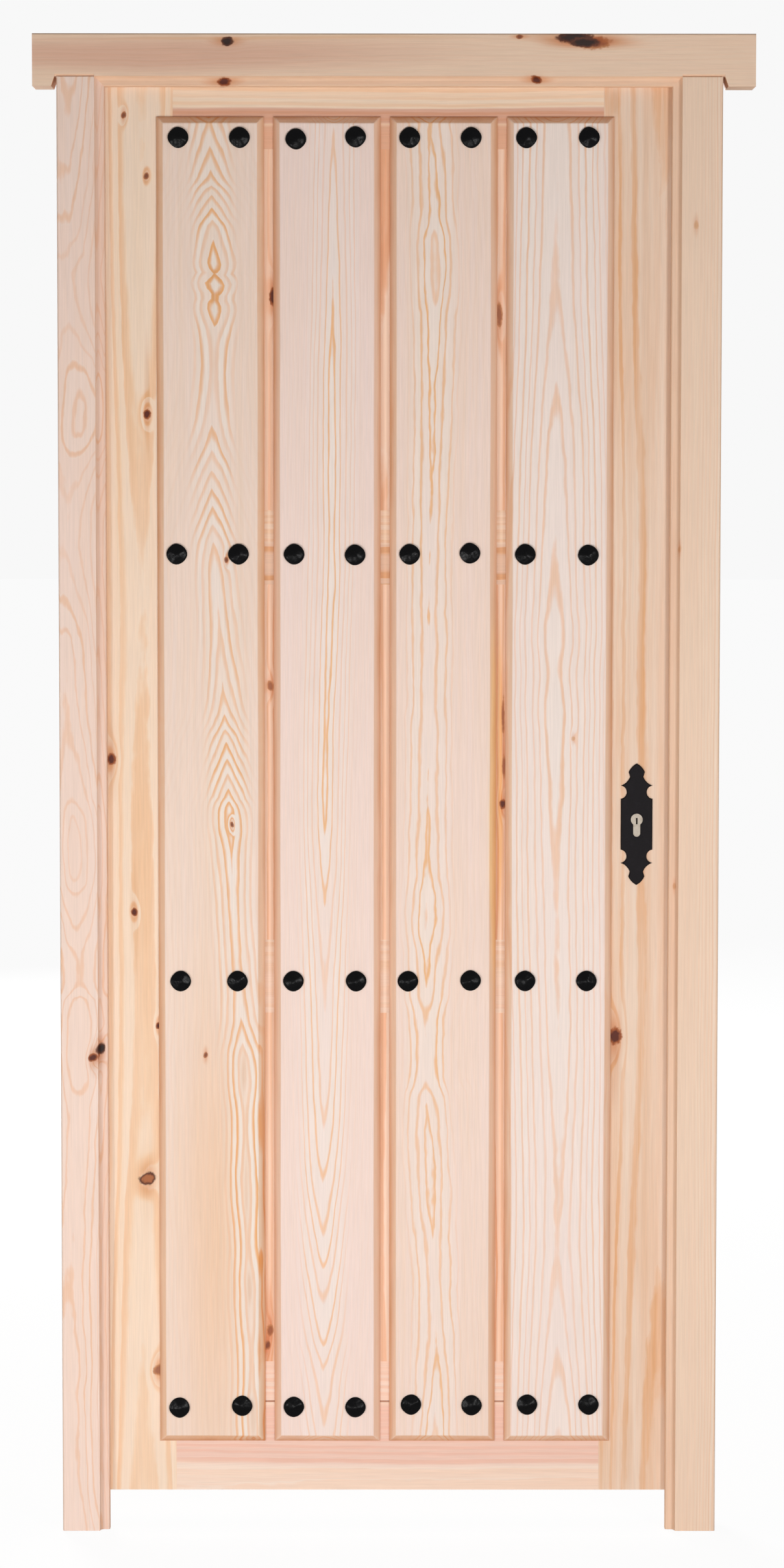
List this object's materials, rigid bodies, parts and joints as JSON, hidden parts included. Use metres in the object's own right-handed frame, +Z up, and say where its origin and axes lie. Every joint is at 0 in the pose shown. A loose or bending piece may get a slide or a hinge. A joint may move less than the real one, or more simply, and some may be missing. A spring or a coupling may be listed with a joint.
{
  "type": "wooden front door",
  "caption": "Front door of bevelled pine planks studded with dome-headed nails, hung in a moulded timber frame on butt hinges, with a keyed deadlock.",
  "frame": {"origin": "floor level on the centre line of the doorway, in the plane of the frame's outer face", "axes": "+X to the right as seen from outside, +Y from the outside to the inside, +Z up"},
  "size_m": [1.023, 0.0836, 2.148],
  "materials": {
    "frame_pine": "satin",
    "leaf_pine": "satin",
    "plank_pine": "satin",
    "board_pine": "satin",
    "black_iron": "satin",
    "hinge_iron": "satin",
    "cylinder_nickel": "satin",
    "lock_steel": "satin",
    "screw_steel": "satin"
  },
  "bodies": {
    "frame": {"header": "frame_pine", "hinge_jamb": "frame_pine", "hinge_jamb_screws": "screw_steel", "lock_jamb": "frame_pine", "lower_hinge_jamb_plate": "hinge_iron", "lower_hinge_pin": "hinge_iron", "middle_hinge_jamb_plate": "hinge_iron", "middle_hinge_pin": "hinge_iron", "strike_plate": "lock_steel", "strike_screws": "screw_steel", "upper_hinge_jamb_plate": "hinge_iron", "upper_hinge_pin": "hinge_iron"},
    "leaf": {"bottom_rail": "leaf_pine", "bottom_strip": "leaf_pine", "cylinder_body": "cylinder_nickel", "cylinder_screw": "screw_steel", "escutcheon_screws": "screw_steel", "forend_screws": "screw_steel", "hinge_leaf_screws": "screw_steel", "hinge_stile": "leaf_pine", "inner_escutcheon": "black_iron", "lock_case": "lock_steel", "lock_cover": "lock_steel", "lock_forend": "lock_steel", "lock_stile": "leaf_pine", "lower_board_1": "board_pine", "lower_board_2": "board_pine", "lower_board_3": "board_pine", "lower_board_4": "board_pine", "lower_board_5": "board_pine", "lower_hinge_leaf_plate": "hinge_iron", "lower_mid_rail": "leaf_pine", "middle_board_1": "board_pine", "middle_board_2": "board_pine", "middle_board_3": "board_pine", "middle_board_4": "board_pine", "middle_board_5": "board_pine", "middle_hinge_leaf_plate": "hinge_iron", "outer_escutcheon": "black_iron", "plank_1": "plank_pine", "plank_1_nails": "black_iron", "plank_2": "plank_pine", "plank_2_nails": "black_iron", "plank_3": "plank_pine", "plank_3_nails": "black_iron", "plank_4": "plank_pine", "plank_4_nails": "black_iron", "top_rail": "leaf_pine", "upper_board_1": "board_pine", "upper_board_2": "board_pine", "upper_board_3": "board_pine", "upper_board_4": "board_pine", "upper_board_5": "board_pine", "upper_hinge_leaf_plate": "hinge_iron", "upper_mid_rail": "leaf_pine"},
    "plugs": {"cylinder_cam": "cylinder_nickel", "inner_plug": "cylinder_nickel", "outer_plug": "cylinder_nickel"},
    "bolt": {"deadbolt": "lock_steel"}
  },
  "joints": [
    {"name": "leaf_swing", "type": "hinge", "parent": "frame", "child": "leaf", "pos_m": [-0.414, 0.0771, 1.07], "axis": [0, 0, 1], "range_deg": [0, 110]},
    {"name": "plug_turn", "type": "hinge", "parent": "leaf", "child": "plugs", "pos_m": [0.357, 0.047, 1.032], "axis": [0, 1, 0], "range_deg": [0, 360]},
    {"name": "deadbolt_throw", "type": "slide", "parent": "leaf", "child": "bolt", "axis": [1, 0, 0], "range_m": [0, 0.02]}
  ],
  "couplings": [
    {"joint": "plug_turn", "follows": "deadbolt_throw", "rad_per_m": 314.16}
  ]
}
